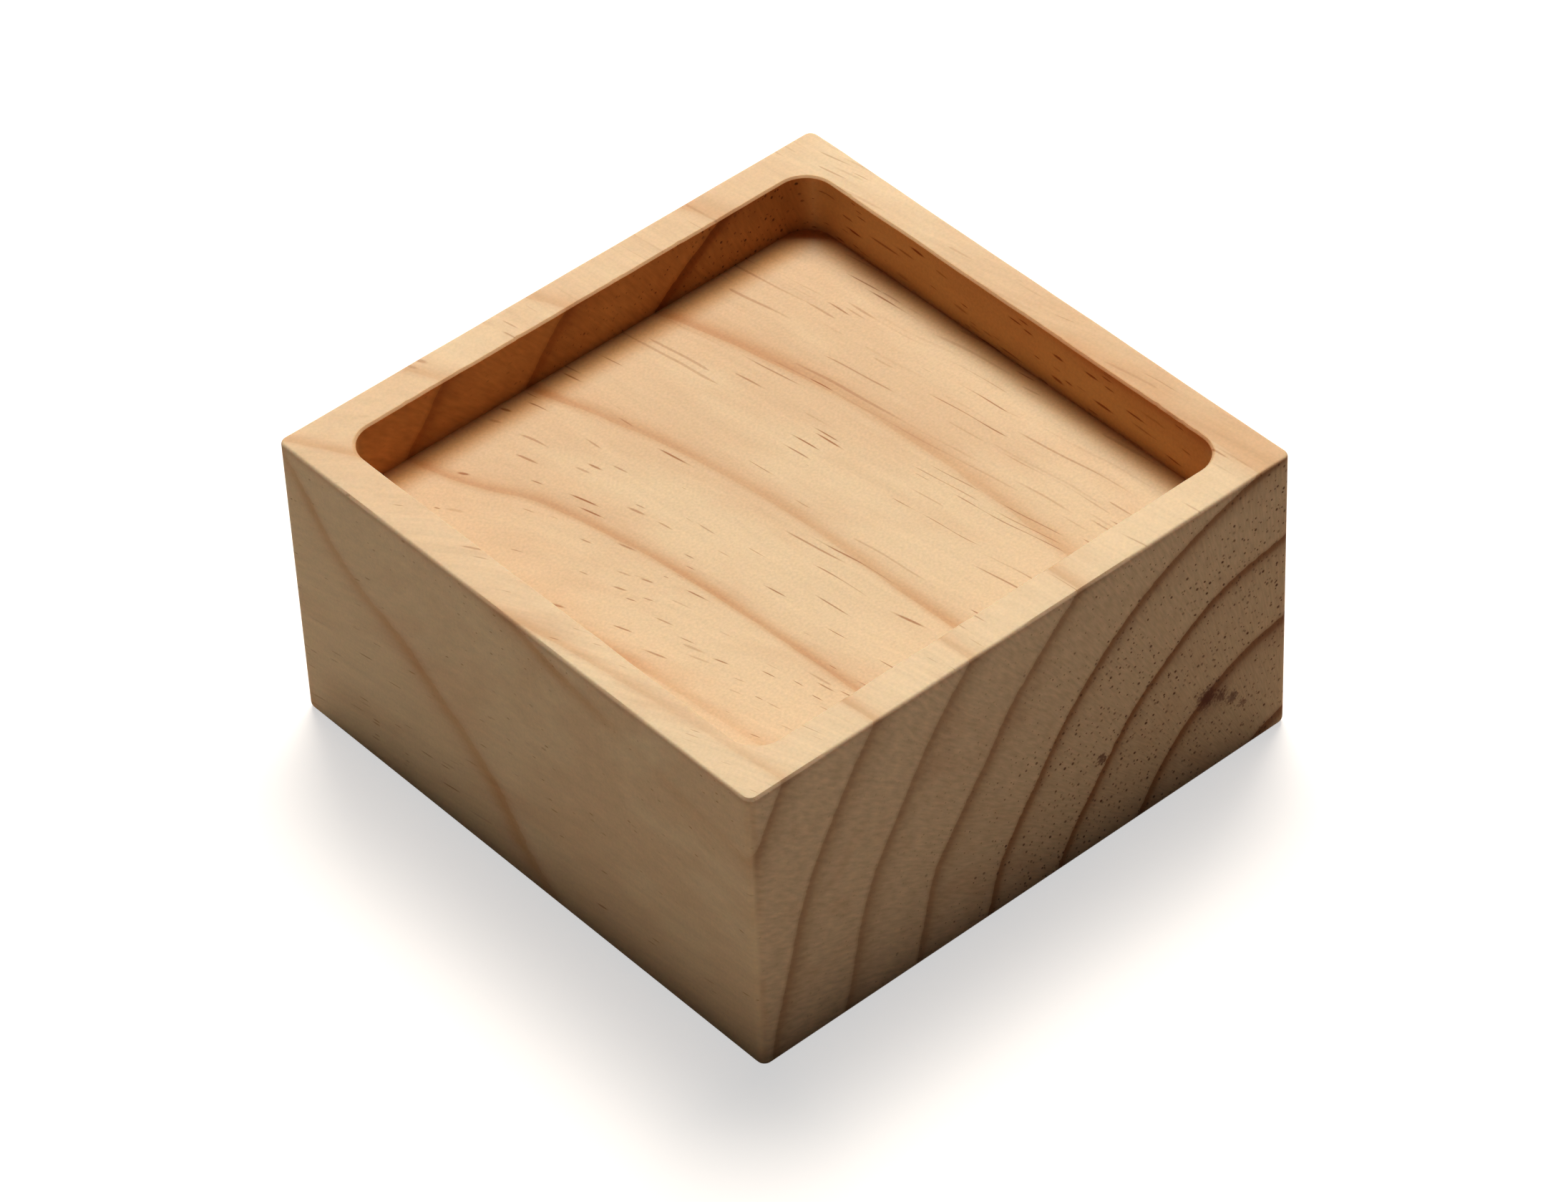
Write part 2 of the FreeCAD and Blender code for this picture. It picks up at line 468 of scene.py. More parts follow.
def growth(tree, place, length):
    """A point's distance from the pith, in mm of the near end's rings, and its bearing from there.

    The pith runs along Y and leans by PITH_LEAN from one end of the block to the other. A ring is
    an oval about it, flattened by OVAL, and shrinks by TAPER over the block's length, and by a
    little more near the far end. Rings are never quite round: they stand out in a blunt corner at
    one bearing, bulge here and there by a millimetre or two, and a slow noise sways the rest.
    """
    slow = add(tree, VECTOR, {0: place, 1: (1 / SWAY_LENGTH, SWAY_ALONG / SWAY_LENGTH, 1 / SWAY_LENGTH)},
               operation="MULTIPLY")
    noise = add(tree, NOISE, {"Vector": slow, "Scale": 1.0, "Detail": 1.0, "Roughness": 0.45})
    centred = add(tree, VECTOR, {0: noise.outputs["Color"], 1: (0.5, 0.5, 0.5)}, operation="SUBTRACT")
    swayed = add(tree, VECTOR, {0: centred, 1: (SWAY, 0.0, SWAY), 2: place}, operation="MULTIPLY_ADD")

    share = add(tree, MATH, {0: length, 1: 1 / LENGTH_MM, 2: 0.5}, operation="MULTIPLY_ADD")
    pith = add(tree, VECTOR, {0: share, 1: PITH_LEAN, 2: PITH}, operation="MULTIPLY_ADD")
    from_pith = add(tree, VECTOR, {0: swayed, 1: pith}, operation="SUBTRACT")

    slender = add(tree, MATH, {0: share, 1: -TAPER, 2: 1.0}, operation="MULTIPLY_ADD")
    beyond = add(tree, MATH, {0: length, 1: 1 / FAR_LENGTH, 2: -FAR_FROM / FAR_LENGTH},
                 operation="MULTIPLY_ADD")
    beyond = add(tree, MATH, {0: beyond, 1: 0.0}, operation="MAXIMUM")
    beyond = add(tree, MATH, {0: beyond, 1: 2.0}, operation="POWER")
    slender = add(tree, MATH, {0: beyond, 1: -FAR_TAPER, 2: slender}, operation="MULTIPLY_ADD")
    from_pith = add(tree, VECTOR, {0: from_pith, "Scale": slender}, operation="SCALE")
    flattened = add(tree, VECTOR, {0: from_pith, 1: OVAL}, operation="MULTIPLY")
    radius = add(tree, VECTOR, {0: flattened}, operation="LENGTH")

    spokes = add(tree, SPLIT, {0: from_pith})
    bearing = add(tree, MATH, {0: spokes.outputs["Z"], 1: spokes.outputs["X"]}, operation="ARCTAN2")
    off_corner = add(tree, MATH, {0: bearing, 1: CORNER_BEARING}, operation="SUBTRACT")
    off_corner = add(tree, MATH, {0: off_corner}, operation="ABSOLUTE")
    outward = add(tree, RANGE, {"Value": off_corner, "From Max": CORNER_REACH,
                                "To Min": CORNER_HEIGHT, "To Max": 0.0})
    radius = add(tree, MATH, {0: radius, 1: outward}, operation="SUBTRACT")
    for centre, reach, height in BULGES:
        apart = add(tree, VECTOR, {0: place, 1: centre}, operation="DISTANCE")
        outward = add(tree, RANGE, {"Value": apart, "From Max": reach, "To Min": height, "To Max": 0.0},
                      interpolation_type="SMOOTHERSTEP")
        radius = add(tree, MATH, {0: radius, 1: outward}, operation="SUBTRACT")
    return radius, bearing


far_pith = Vector(PITH) + Vector(PITH_LEAN)
print(f"pith at x {PITH[0]:.1f}, z {PITH[2]:.1f} mm at the near end, "
      f"and x {far_pith.x:.1f}, z {far_pith.z:.1f} mm at the far end")

# %% [markdown]
# The run of the fibres
#
# Fibres don't run quite along the plank. Here they lean across it by 7 degrees, and by nearly 30 at
# the top left, where the rings lean too, and they dive a little into the face. The strong lean fades
# out downwards from the floor of the recess. Every texture that follows the grain needs this, so it
# is worked out once: the result has the two directions across the fibre as its X and Y, and the way
# along it as its Z, with the lean taken out.

# %% Fibre flow
LEAN = (0.13, 0.55)
LEAN_FROM, LEAN_TO = -12.0, -50.0
LEAN_DEPTH, LEAN_FADE = 41.0, 1.6
DIVE = (0.15, -0.05)
DIVE_FROM, DIVE_TO = -44.0, 44.0
WANDER_LENGTH = 20.0
WANDER = (2.2, 0.0, 1.6)


def fibre_flow(tree, place, length):
    """Each point's place in the bundle of fibres, in mm: across, across, along.

    A fibre that starts at x runs through x minus its lean times y, so adding the lean back gives
    every point of one fibre the same place across. The dive does the same for z, and a noise bends
    the fibres gently. Lean and dive both change with x, from their first value to their second, and
    each millimetre below LEAN_DEPTH counts as LEAN_FADE millimetres to the right.
    """
    parts = add(tree, SPLIT, {0: place})
    across = parts.outputs["X"]
    deep = add(tree, MATH, {0: LEAN_DEPTH, 1: parts.outputs["Z"]}, operation="SUBTRACT")
    deep = add(tree, MATH, {0: deep, 1: 0.0}, operation="MAXIMUM")
    leaning = add(tree, MATH, {0: deep, 1: LEAN_FADE, 2: across}, operation="MULTIPLY_ADD")
    lean = add(tree, RANGE, {"Value": leaning, "From Min": LEAN_FROM, "From Max": LEAN_TO,
                             "To Min": LEAN[0], "To Max": LEAN[1]})
    dive = add(tree, RANGE, {"Value": across, "From Min": DIVE_FROM, "From Max": DIVE_TO,
                             "To Min": DIVE[0], "To Max": DIVE[1]})
    slope = add(tree, "ShaderNodeCombineXYZ", {0: lean, 2: dive})
    straight = add(tree, VECTOR, {0: slope, 1: length, 2: place}, operation="MULTIPLY_ADD")
    slow = add(tree, VECTOR, {0: place, "Scale": 1 / WANDER_LENGTH}, operation="SCALE")
    noise = add(tree, NOISE, {"Vector": slow, "Scale": 1.0, "Detail": 1.0})
    bent = add(tree, VECTOR, {0: noise.outputs["Color"], 1: WANDER, 2: straight},
               operation="MULTIPLY_ADD")
    parts = add(tree, SPLIT, {0: bent})
    return add(tree, "ShaderNodeCombineXYZ", {0: parts.outputs["X"], 1: parts.outputs["Z"], 2: length})


print("fibres lean by", [round(math.degrees(math.atan(lean))) for lean in LEAN], "degrees")

# %% [markdown]
# Early and late wood
#
# In spring a pine lays down wide pale cells, and in late summer narrow dark ones. Walking outwards
# across a ring the wood darkens slowly, and then stops at a sharp line where winter came. That
# one-sided edge is what makes growth rings look real. One ramp over the ring's own 0 to 1 draws it,
# with a curve in each of its colours: red for the tight inner rings as the end grain shows them,
# green for the softer outer rings, and blue for the flat bands that the long grain shows. A fine
# noise drawn out along the fibres frays the line a little.

# %% Late wood
FIRST_RING = 41.9
RING_SPACING = 12.65
FIRST_RING_SPACING = 15.2
TIGHT_RADIUS, SOFT_RADIUS = 62.0, 84.0
FRAY = (0.7, 0.7, 0.06)
FRAY_DEPTH = 0.5
LATE_WOOD = [(0.00, 0.45, 0.36, 0.62), (0.02, 0.18, 0.24, 0.36), (0.05, 0.00, 0.05, 0.08),
             (0.50, 0.02, 0.02, 0.01), (0.64, 0.06, 0.08, 0.03), (0.75, 0.12, 0.17, 0.07),
             (0.83, 0.24, 0.30, 0.14), (0.89, 0.44, 0.43, 0.32), (0.93, 0.86, 0.57, 0.66),
             (0.97, 1.00, 0.66, 1.00), (1.00, 0.95, 0.60, 0.90)]
STRENGTH_LENGTH = 26.0
STRENGTH_NOISE = (0.35, 0.62)
WEAKEST = 0.6
FAINT_PLACE = (-50, -34, 36)
FAINT_REACH = 26.0
FAINT_SHARE = 0.3


def late_wood(tree, place, flow, radius):
    """How much late wood a point has, 0 to 1, as seen on the end grain and on the long grain.

    The radius past the first ring, divided by the spacing, counts the rings, and what is left over
    a whole number is the season. On the long grain the bands come and go: a slow noise makes them
    strong here and faint there, and they are faintest about one place on the left side.
    """
    drawn = add(tree, VECTOR, {0: flow, 1: FRAY}, operation="MULTIPLY")
    noise = add(tree, NOISE, {"Vector": drawn, "Scale": 1.0, "Detail": 3.0})
    frayed = add(tree, MATH, {0: noise, 1: FRAY_DEPTH, 2: radius}, operation="MULTIPLY_ADD")
    past_first = add(tree, MATH, {0: frayed, 1: FIRST_RING + FRAY_DEPTH / 2}, operation="SUBTRACT")
    usual = add(tree, MATH, {0: past_first, 1: 1 / RING_SPACING}, operation="MULTIPLY")
    young = add(tree, MATH, {0: past_first, 1: 1 / FIRST_RING_SPACING}, operation="MULTIPLY")
    count = add(tree, MATH, {0: usual, 1: young}, operation="MAXIMUM")
    season = add(tree, MATH, {0: count}, operation="FRACT")

    ramp = add(tree, "ShaderNodeValToRGB", {"Fac": season})
    elements = ramp.color_ramp.elements
    elements[0].position, elements[1].position = LATE_WOOD[0][0], LATE_WOOD[-1][0]
    for row in LATE_WOOD[1:-1]:
        elements.new(row[0])
    for element, row in zip(elements, LATE_WOOD):
        element.color = (*row[1:], 1)
    curves = add(tree, "ShaderNodeSeparateColor", {0: ramp})
    soft = add(tree, RANGE, {"Value": radius, "From Min": TIGHT_RADIUS, "From Max": SOFT_RADIUS})
    end = add(tree, MIX, {"Factor": soft, 2: curves.outputs["Red"], 3: curves.outputs["Green"]})

    slow = add(tree, NOISE, {"Vector": place, "Scale": 1 / STRENGTH_LENGTH, "Detail": 2.0})
    strong = add(tree, RANGE, {"Value": slow, "From Min": STRENGTH_NOISE[0],
                               "From Max": STRENGTH_NOISE[1], "To Min": WEAKEST, "To Max": 1.0})
    apart = add(tree, VECTOR, {0: place, 1: FAINT_PLACE}, operation="DISTANCE")
    faint = add(tree, RANGE, {"Value": apart, "From Min": FAINT_REACH / 2, "From Max": FAINT_REACH,
                              "To Min": FAINT_SHARE})
    strong = add(tree, MATH, {0: strong, 1: faint}, operation="MULTIPLY")
    long = add(tree, MATH, {0: curves.outputs["Blue"], 1: strong}, operation="MULTIPLY")
    return end, long


print(f"a ring is {RING_SPACING} mm wide, or {FIRST_RING_SPACING} mm inside the first one drawn")

# %% [markdown]
# Resin canals
#
# Pine is full of thin tubes of resin that run with the fibres. Where the saw cuts across them they
# are dark dots, and where it cuts almost along them they are brown dashes, or fine lines if the cut
# is nearly parallel. Dashes could be painted on each face, but tubes are simpler and always agree:
# a flat Voronoi pattern across the fibre places one tube in each cell, and because the pattern reads
# the fibre flow, each tube runs through the whole block and the faces cut it as they may. Some cells
# have no tube, a noise gathers the rest in clusters, and each one fades in and out along its way.

# %% One layout of canals
CLUSTER = 7.0
CROWDING = 2.4
CANAL_FADE = 0.12
CANAL_EDGE = (0.7, 1.7)
THINNEST = 0.5
PALEST = 0.25


def canals(tree, flow, spacing, thickness, share, length, seed):
    """A mask of tubes along the fibres: 1 in the middle of a canal, 0 outside.

    It is a smooth step of the tube's radius divided by the distance from the middle of its cell.
    spacing is the size of a cell, thickness the largest radius and length how far a tube stays the
    same, in millimetres. share, from -0.5 to 0.5, says how many cells hold a tube. seed picks
    another layout.
    """
    shifted = add(tree, VECTOR, {0: flow, 1: (seed, seed, seed)}, operation="ADD")
    cells = add(tree, VECTOR, {0: shifted, "Scale": 1 / spacing}, operation="SCALE")
    voronoi = add(tree, "ShaderNodeTexVoronoi", {"Vector": cells, "Scale": 1.0, "Randomness": 1.0},
                  voronoi_dimensions="2D")
    draw = add(tree, "ShaderNodeSeparateColor", {0: voronoi.outputs["Color"]})
    drawn = add(tree, VECTOR, {0: shifted, 1: (1 / CLUSTER, 1 / CLUSTER, 1 / length)},
                operation="MULTIPLY")
    crowd = add(tree, NOISE, {"Vector": drawn, "Scale": 1.0, "Detail": 2.0})
    wanted = add(tree, MATH, {0: crowd, 1: CROWDING, 2: 0.5 - CROWDING / 2}, operation="MULTIPLY_ADD")
    wanted = add(tree, MATH, {0: wanted, 1: share}, operation="ADD")
    there = add(tree, MATH, {0: wanted, 1: draw.outputs["Red"]}, operation="SUBTRACT")
    there = add(tree, RANGE, {"Value": there, "From Max": CANAL_FADE})
    wide = add(tree, RANGE, {"Value": draw.outputs["Green"], "To Min": THINNEST * thickness / spacing,
                             "To Max": thickness / spacing})
    wide = add(tree, MATH, {0: wide, 1: there}, operation="MULTIPLY")
    inside = add(tree, MATH, {0: wide, 1: voronoi.outputs["Distance"]}, operation="DIVIDE")
    core = add(tree, RANGE, {"Value": inside, "From Min": CANAL_EDGE[0], "From Max": CANAL_EDGE[1]},
               interpolation_type="SMOOTHSTEP")
    dark = add(tree, RANGE, {"Value": draw.outputs["Blue"], "To Min": PALEST})
    return add(tree, MATH, {0: core, 1: dark}, operation="MULTIPLY")


print(f"canals gather in clusters about {CLUSTER:.0f} mm wide")

# %% [markdown]
# What the material knows about a point
#
# Every texture below asks the same questions of a point on the block. Where is it in the tree and in
# the bundle of fibres? Is its face end grain, does it stand upright, did the router cut it? The
# answers are worked out once and passed on together. They come from Object coordinates and from the
# mesh's own attribute, so the figure stays on the block wherever the block is put.

# %% Facts about a point
Facts = namedtuple("Facts", "place length flow radius bearing end_grain upright aside routed wall "
                            "heart mottle")
END_GRAIN_FROM, END_GRAIN_TO = 0.55, 0.95
HEART_FROM, HEART_TO = 90.0, 42.0
MOTTLE = 0.45


def measure(tree):
    """The facts about the point being shaded: lengths in mm, and shares from 0 to 1.

    place, length, flow, radius and bearing come from the growth of the tree. end_grain, upright and
    aside say how the face is turned, routed and wall what the cutter made, heart how near the pith
    is on end grain, and mottle is a fine noise that is the same in every direction.
    """
    coordinates = add(tree, "ShaderNodeTexCoord")
    place = add(tree, VECTOR, {0: coordinates.outputs["Object"], "Scale": 1 / MM}, operation="SCALE")
    length = add(tree, SPLIT, {0: place}).outputs["Y"]
    radius, bearing = growth(tree, place, length)
    flow = fibre_flow(tree, place, length)

    facing = add(tree, SPLIT, {0: coordinates.outputs["Normal"]})
    end_grain = add(tree, MATH, {0: facing.outputs["Y"]}, operation="ABSOLUTE")
    end_grain = add(tree, RANGE, {"Value": end_grain, "From Min": END_GRAIN_FROM,
                                  "From Max": END_GRAIN_TO}, interpolation_type="SMOOTHSTEP")
    upright = add(tree, MATH, {0: facing.outputs["Z"]}, operation="ABSOLUTE")
    upright = add(tree, MATH, {0: 1.0, 1: upright}, operation="SUBTRACT", use_clamp=True)
    aside = add(tree, MATH, {0: facing.outputs["X"]}, operation="ABSOLUTE")

    routed = add(tree, "ShaderNodeAttribute", attribute_name="routed").outputs["Fac"]
    wall = add(tree, MATH, {0: routed, 1: upright}, operation="MULTIPLY")
    heart = add(tree, RANGE, {"Value": radius, "From Min": HEART_FROM, "From Max": HEART_TO})
    heart = add(tree, MATH, {0: heart, 1: end_grain}, operation="MULTIPLY")
    mottle = add(tree, NOISE, {"Vector": place, "Scale": 1 / MOTTLE, "Detail": 3.0})
    return Facts(place, length, flow, radius, bearing, end_grain, upright, aside, routed, wall,
                 heart, mottle)


print("facts about a point:", ", ".join(Facts._fields))

# %% [markdown]
# The colour of the wood
#
# Pine is pale cream to honey, a touch pinker in late wood. The end grain drinks the clear coat and
# turns a browner, darker shade of both, the more so near the pith. Planks also have broad patches
# that are creamier or pinker, drawn out along the fibres. On the rim, where the sandpaper closed the
# grain, the bands of late wood show less than on the routed floor.

# %% Wood colour
EARLY_LONG = linear("#E8C89F")
LATE_LONG = linear("#D3A276")
EARLY_END = linear("#DAB792")
LATE_END = linear("#92603A")
UNTOUCHED = (1.0, 1.0, 1.0, 1.0)
HEART = (0.82, 0.77, 0.72, 1.0)
CREAM = (1.02, 1.04, 1.05, 1.0)
PINK = (0.965, 0.93, 0.92, 1.0)
PATCHES = (1 / 9, 1 / 9, 1 / 30)
PATCH_NOISE = (0.41, 0.6)
# first value: painted shade on the top, a little darker and pinker towards the far end; second value: the
# sides pinker towards the near end
TINT_AND_SHADE_SLOPE = (0.003, -0.0025)
PLANED_BANDS = 0.76


def wood_colour(tree, facts):
    """Early and late wood as each face shows them, times the cast of the patches and of the heart.

    The cast is a noise over the patches, plus a slope times the length: the top grows pinker and a
    little darker towards the far end, which is painted shade, and the sides grow pinker towards the
    near end.
    """
    late_end, late_long = late_wood(tree, facts.place, facts.flow, facts.radius)
    bands = add(tree, MATH, {0: facts.routed, 1: facts.upright}, operation="MAXIMUM")
    bands = add(tree, RANGE, {"Value": bands, "To Min": PLANED_BANDS})
    late_long = add(tree, MATH, {0: late_long, 1: bands}, operation="MULTIPLY")
    long = add(tree, MIX, {"Factor": late_long, 6: EARLY_LONG, 7: LATE_LONG}, data_type="RGBA")
    end = add(tree, MIX, {"Factor": late_end, 6: EARLY_END, 7: LATE_END}, data_type="RGBA")
    wood = add(tree, MIX, {"Factor": facts.end_grain, 6: long, 7: end}, data_type="RGBA")

    patches = add(tree, VECTOR, {0: facts.flow, 1: PATCHES}, operation="MULTIPLY")
    warmth = add(tree, NOISE, {"Vector": patches, "Scale": 1.0, "Detail": 3.0})
    # painted shade: on the top the cast darkens towards the far end
    slope = add(tree, RANGE, {"Value": facts.aside, "To Min": TINT_AND_SHADE_SLOPE[0], "To Max": TINT_AND_SHADE_SLOPE[1]})
    warmth = add(tree, MATH, {0: facts.length, 1: slope, 2: warmth}, operation="MULTIPLY_ADD")
    warmth = add(tree, RANGE, {"Value": warmth, "From Min": PATCH_NOISE[0], "From Max": PATCH_NOISE[1]})
    cast = add(tree, MIX, {"Factor": warmth, 6: CREAM, 7: PINK}, data_type="RGBA")
    wood = add(tree, VECTOR, {0: wood, 1: cast}, operation="MULTIPLY")
    darker = add(tree, MIX, {"Factor": facts.heart, 6: UNTOUCHED, 7: HEART}, data_type="RGBA")
    return add(tree, VECTOR, {0: wood, 1: darker}, operation="MULTIPLY")


print("early wood reflects", [round(part, 2) for part in EARLY_LONG[:3]], "on long grain, and",
      [round(part, 2) for part in EARLY_END[:3]], "on end grain")

# %% [markdown]
# What the cutter left, and painted shade in the recess
#
# A router leaves the floor of a recess a little duller than planed wood, and its walls too. The two
# far walls face away from the softbox, and they are painted a darker brown as painted shade; a strip
# of the floor next to them is painted darker as their shadow, a little wider along the far side than
# along the right. The other two walls are only duller.

# %% Marks of the cutter, and painted shade
ROUTED = (0.94, 0.925, 0.91, 1.0)
ROUTED_WALL = (0.97, 0.94, 0.91, 1.0)
# painted shade: a darker brown for the two far walls, which face away from the softbox
PAINTED_WALL_SHADE = (0.82, 0.51, 0.25, 1.0)
# painted shadow: darker floor next to the two far walls, where their shadow falls
PAINTED_FLOOR_SHADOW = (0.98, 0.72, 0.46, 1.0)
# moves the painted shade so that its strip is wider along the far side than along the right
SHADOW_SHIFT = (-0.5, 0.7, 0.0)
RECESS_HALF_MM = RECESS_HALF / MM
SHADOW_STRIP_FROM, SHADOW_STRIP_TO = RECESS_HALF_MM - 5.5, RECESS_HALF_MM - 1.0


def cutter_dulling_and_painted_shade(tree, facts, wood):
    """The colour of the wood, duller where it was routed, with painted shade on the far walls and floor.

    A point's reach is the larger of its x and y, each shifted a little so that the painted shade is
    wider along the far side. The painted shade of the walls and the painted shadow of the floor grow
    with the reach over the strip next to the wall.
    """
    shadow_place = add(tree, VECTOR, {0: facts.place, 1: SHADOW_SHIFT}, operation="ADD")
    shadow_place = add(tree, SPLIT, {0: shadow_place})
    reach = add(tree, MATH, {0: shadow_place.outputs["X"], 1: shadow_place.outputs["Y"]}, operation="MAXIMUM")
    # painted shade, rising towards the two far walls
    far_wall_shade = add(tree, RANGE, {"Value": reach, "From Min": SHADOW_STRIP_FROM,
                              "From Max": RECESS_HALF_MM + SHADOW_SHIFT[1]}, interpolation_type="SMOOTHSTEP")
    tint = add(tree, MIX, {"Factor": far_wall_shade, 6: ROUTED_WALL, 7: PAINTED_WALL_SHADE}, data_type="RGBA")
    tint = add(tree, MIX, {"Factor": facts.wall, 6: ROUTED, 7: tint}, data_type="RGBA")
    tint = add(tree, MIX, {"Factor": facts.routed, 6: UNTOUCHED, 7: tint}, data_type="RGBA")
    wood = add(tree, VECTOR, {0: wood, 1: tint}, operation="MULTIPLY")

    # painted shadow on the floor next to the two far walls
    shadow_strip = add(tree, RANGE, {"Value": reach, "From Min": SHADOW_STRIP_FROM, "From Max": SHADOW_STRIP_TO},
                 interpolation_type="SMOOTHSTEP")
    level = add(tree, MATH, {0: facts.routed, 1: facts.wall}, operation="SUBTRACT")
    shadow_strip = add(tree, MATH, {0: shadow_strip, 1: level}, operation="MULTIPLY")
    painted_shadow = add(tree, MIX, {"Factor": shadow_strip, 6: UNTOUCHED, 7: PAINTED_FLOOR_SHADOW}, data_type="RGBA")
    return add(tree, VECTOR, {0: wood, 1: painted_shadow}, operation="MULTIPLY")


# the strip of painted shadow next to the far walls
print(f"rubbed strip from {SHADOW_STRIP_FROM:.1f} mm, to the wall at {RECESS_HALF_MM:.1f} mm")

# %% [markdown]
# Fibres, rays and mottle
#
# Under the finish lie three fine textures: fibres drawn out along the grain, rays that fan out from
# the pith on the end grain, and the soft mottle that a router or a sander leaves. The cells of real
# pine are a few hundredths of a millimetre wide, too fine to show, so these are drawn ten times
# coarser and more. Each face shows its own mix of them, as a light and dark shade of the wood.

# %% Fine textures
FIBRE_WIDTH = 1.4
FIBRE_LENGTH = 24.0
RAY_RADIUS = 80.0
RAY_SPACING = 0.5
RAY_BREAKS = 0.45
MOTTLE_SHARE = (0.4, 0.6)
SHADE_LONG, SHADE_END = 0.53, 0.66


def fine_texture(tree, facts, wood):
    """The colour of the wood, times 1 plus the fine noise of its face about its own middle value.

    The rays are a noise in bearing and radius, so that it fans out from the pith. One step of it is
    RAY_SPACING wide at RAY_RADIUS.
    """
    threads = add(tree, VECTOR, {0: facts.flow, 1: (1 / FIBRE_WIDTH, 1 / FIBRE_WIDTH, 1 / FIBRE_LENGTH)},
                  operation="MULTIPLY")
    threads = add(tree, NOISE, {"Vector": threads, "Scale": 1.0, "Detail": 6.0, "Roughness": 0.65})
    turned = add(tree, MATH, {0: facts.bearing, 1: RAY_RADIUS / RAY_SPACING}, operation="MULTIPLY")
    outwards = add(tree, MATH, {0: facts.radius, 1: RAY_BREAKS}, operation="MULTIPLY")
    fan = add(tree, "ShaderNodeCombineXYZ", {0: turned, 1: outwards})
    rays = add(tree, NOISE, {"Vector": fan, "Scale": 1.0, "Detail": 3.0})
    rough = add(tree, RANGE, {"Value": facts.routed, "To Min": MOTTLE_SHARE[0], "To Max": MOTTLE_SHARE[1]})
    long = add(tree, MIX, {"Factor": rough, 2: threads, 3: facts.mottle})
    fine = add(tree, MIX, {"Factor": facts.end_grain, 2: long, 3: rays})
    depth = add(tree, RANGE, {"Value": facts.end_grain, "To Min": SHADE_LONG, "To Max": SHADE_END})
    shade = add(tree, MATH, {0: fine, 1: 0.5}, operation="SUBTRACT")
    shade = add(tree, MATH, {0: shade, 1: depth, 2: 1.0}, operation="MULTIPLY_ADD")
    return add(tree, VECTOR, {0: wood, "Scale": shade}, operation="SCALE")


print(f"fibres drawn {FIBRE_WIDTH} mm wide and {FIBRE_LENGTH:.0f} mm long, rays {RAY_SPACING} mm apart")

# %% [markdown]
# Resin in the wood
#
# Three layouts of canals are laid over each other: the usual ones, a few stray ones, and wide ones
# that grew only near the pith. The end grain shows them best where the wood is dark, the routed
# floor shows them well, and the planed faces more faintly, because the coat has filled them there.

# %% Canals in the wood
CANAL_LONG = linear("#904510")
CANAL_END = linear("#5F391D")
NEAR_PITH = {"From Min": 66.0, "From Max": 44.0, "To Min": 0.02, "To Max": 0.2}
FAR_OUT = {"From Min": 94.0, "From Max": 106.0, "To Min": 0.0, "To Max": -0.35}
YOUNG_WOOD = {"From Min": 74.0, "From Max": 60.0, "To Min": -0.6, "To Max": 0.4}
WIDE_ALONG = 0.5
SEEN_FLAT = (0.45, 0.75)
SEEN_UPRIGHT = 0.5
SEEN_END, SEEN_HEART = 0.22, 1.5


def resin_canals(tree, facts, wood):
    """The colour of the wood with its canals stained in, by how well the face shows them.

    NEAR_PITH, FAR_OUT and YOUNG_WOOD each turn a radius into a share of cells that hold a tube. A
    point's stain is the strongest of its three layouts, times how well its face shows resin.
    """
    inner = add(tree, RANGE, {"Value": facts.radius, **NEAR_PITH})
    outer = add(tree, RANGE, {"Value": facts.radius, **FAR_OUT})
    young = add(tree, RANGE, {"Value": facts.radius, **YOUNG_WOOD})
    share = add(tree, MATH, {0: inner, 1: outer}, operation="ADD")
    usual = canals(tree, facts.flow, spacing=1.45, thickness=0.18, share=share, length=26.0, seed=3.7)
    stray = canals(tree, facts.flow, spacing=3.4, thickness=0.25, share=outer, length=14.0, seed=61.3)
    wide = canals(tree, facts.flow, spacing=1.45, thickness=0.29, share=young, length=14.0, seed=27.9)
    across = add(tree, MATH, {0: facts.end_grain, 1: facts.wall}, operation="MAXIMUM")
    across = add(tree, RANGE, {"Value": across, "To Min": WIDE_ALONG})
    wide = add(tree, MATH, {0: wide, 1: across}, operation="MULTIPLY")
    resin = add(tree, MATH, {0: usual, 1: stray}, operation="MAXIMUM")
    resin = add(tree, MATH, {0: resin, 1: wide}, operation="MAXIMUM")

    flat_faces = add(tree, RANGE, {"Value": facts.routed, "To Min": SEEN_FLAT[0], "To Max": SEEN_FLAT[1]})
    sides = add(tree, RANGE, {"Value": facts.routed, "To Min": SEEN_UPRIGHT})
    sides = add(tree, MATH, {0: sides, 1: facts.upright}, operation="MULTIPLY")
    seen = add(tree, MATH, {0: flat_faces, 1: sides}, operation="MAXIMUM")
    pierced = add(tree, MATH, {0: facts.heart, 1: SEEN_HEART, 2: SEEN_END}, operation="MULTIPLY_ADD",
                  use_clamp=True)
    seen = add(tree, MIX, {"Factor": facts.end_grain, 2: seen, 3: pierced})
    stain = add(tree, MATH, {0: resin, 1: seen}, operation="MULTIPLY")
    colour = add(tree, MIX, {"Factor": facts.end_grain, 6: CANAL_LONG, 7: CANAL_END}, data_type="RGBA")
    return add(tree, MIX, {"Factor": stain, 6: wood, 7: colour}, data_type="RGBA")


print(f"the wide canals fade out {YOUNG_WOOD['From Min']:.0f} mm from the pith")

# %% [markdown]
# Where the tree was hurt, resin gathers in pockets. The near end shows one as a dark stain with a
# few spots trailing from it, and a small one by itself. Each is a ball in the wood with an uneven
# edge, given by its centre, its reach and how dark it is in the middle.

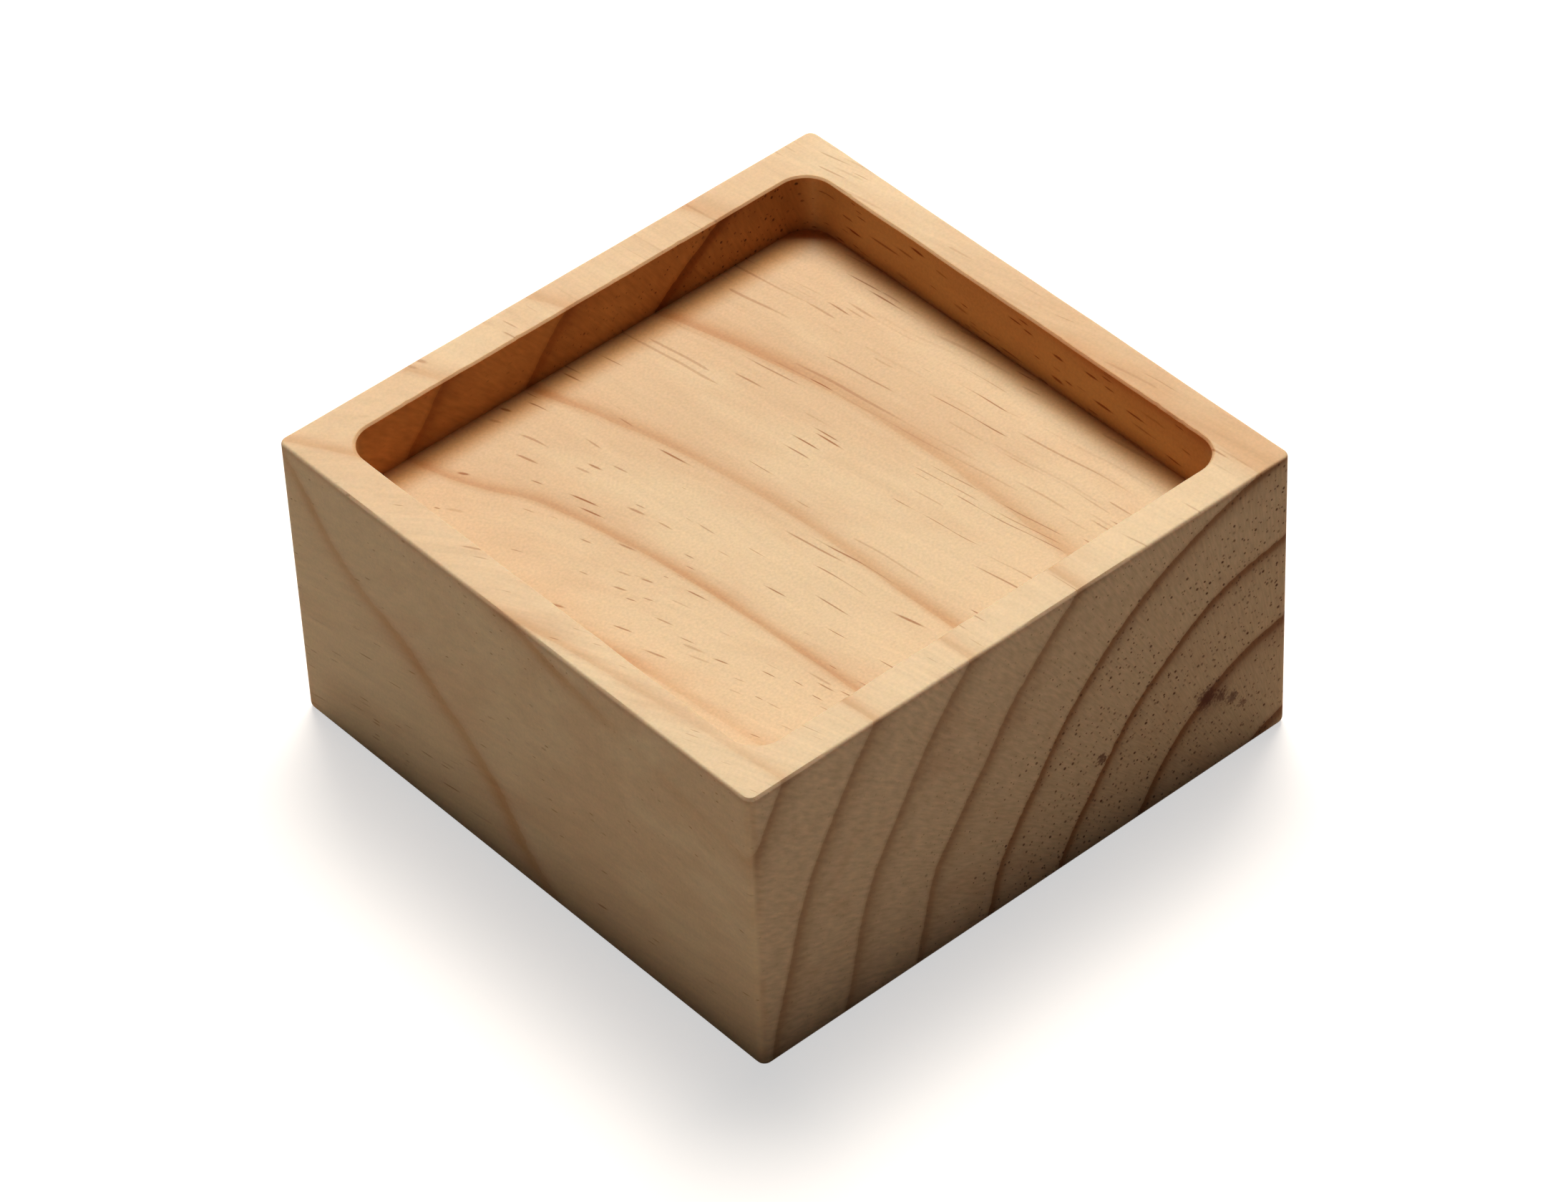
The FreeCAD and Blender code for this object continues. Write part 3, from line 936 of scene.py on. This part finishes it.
# %% Resin pockets
POCKET = linear("#58260F")
POCKETS = [((35.2, -50, 14.4), 4.6, 0.25), ((33.9, -50, 15.0), 2.5, 0.85), ((36.6, -50, 13.6), 1.6, 0.7),
           ((38.9, -50, 11.9), 1.5, 0.7), ((41.0, -50, 9.6), 0.9, 0.6), ((13.6, -50, 16.6), 1.3, 0.8)]
POCKET_EDGE = 3.4
POCKET_CORE = 0.3


def resin_pockets(tree, facts, wood):
    """The colour of the wood with its pockets: dark to POCKET_CORE of the reach, then fading out."""
    uneven = add(tree, MATH, {0: facts.mottle, 1: POCKET_EDGE, 2: -POCKET_EDGE / 2},
                 operation="MULTIPLY_ADD")
    for centre, reach, strength in POCKETS:
        apart = add(tree, VECTOR, {0: facts.place, 1: centre}, operation="DISTANCE")
        apart = add(tree, MATH, {0: apart, 1: uneven}, operation="ADD")
        pocket = add(tree, RANGE, {"Value": apart, "From Min": reach, "From Max": POCKET_CORE * reach,
                                   "To Max": strength}, interpolation_type="SMOOTHSTEP")
        wood = add(tree, MIX, {"Factor": pocket, 6: wood, 7: POCKET}, data_type="RGBA")
    return wood


print("resin pockets:", len(POCKETS))

# %% [markdown]
# The finished material
#
# The layers are put together in the order in which they came about. The wood was sanded and given a
# thin coat of clear lacquer, which soaks in and dries dull: its IOR is that of any lacquer, but there
# is hardly any shine. Light goes a millimetre or two into pale wood before it comes out again, red
# light the farthest, and that gives the edges and the shaded corners their warm glow.

# %% Pine material
COAT_IOR = 1.48
COAT_ROUGHNESS = 0.6
COAT_SHINE = 0.04
GLOW = (1.0, 0.42, 0.18)
GLOW_DEPTH = 2.0 * MM
GLOW_SHARE = 0.3


def pine_material():
    """Pine with a thin dull coat: wood, cutter marks and painted shade, fine textures and resin in turn.
    """
    material, tree = new_material("clear_coated_pine")
    facts = measure(tree)
    wood = wood_colour(tree, facts)
    wood = cutter_dulling_and_painted_shade(tree, facts, wood)
    wood = fine_texture(tree, facts, wood)
    wood = resin_canals(tree, facts, wood)
    wood = resin_pockets(tree, facts, wood)
    surface = add(tree, "ShaderNodeBsdfPrincipled", {
        "Base Color": wood, "Roughness": COAT_ROUGHNESS, "IOR": COAT_IOR,
        "Specular IOR Level": COAT_SHINE, "Subsurface Weight": GLOW_SHARE,
        "Subsurface Radius": GLOW, "Subsurface Scale": GLOW_DEPTH})
    add(tree, "ShaderNodeOutputMaterial", {"Surface": surface})
    return material


pine = pine_material()
block.data.materials.append(pine)
print("material:", pine.name, "with", len(pine.node_tree.nodes), "nodes")
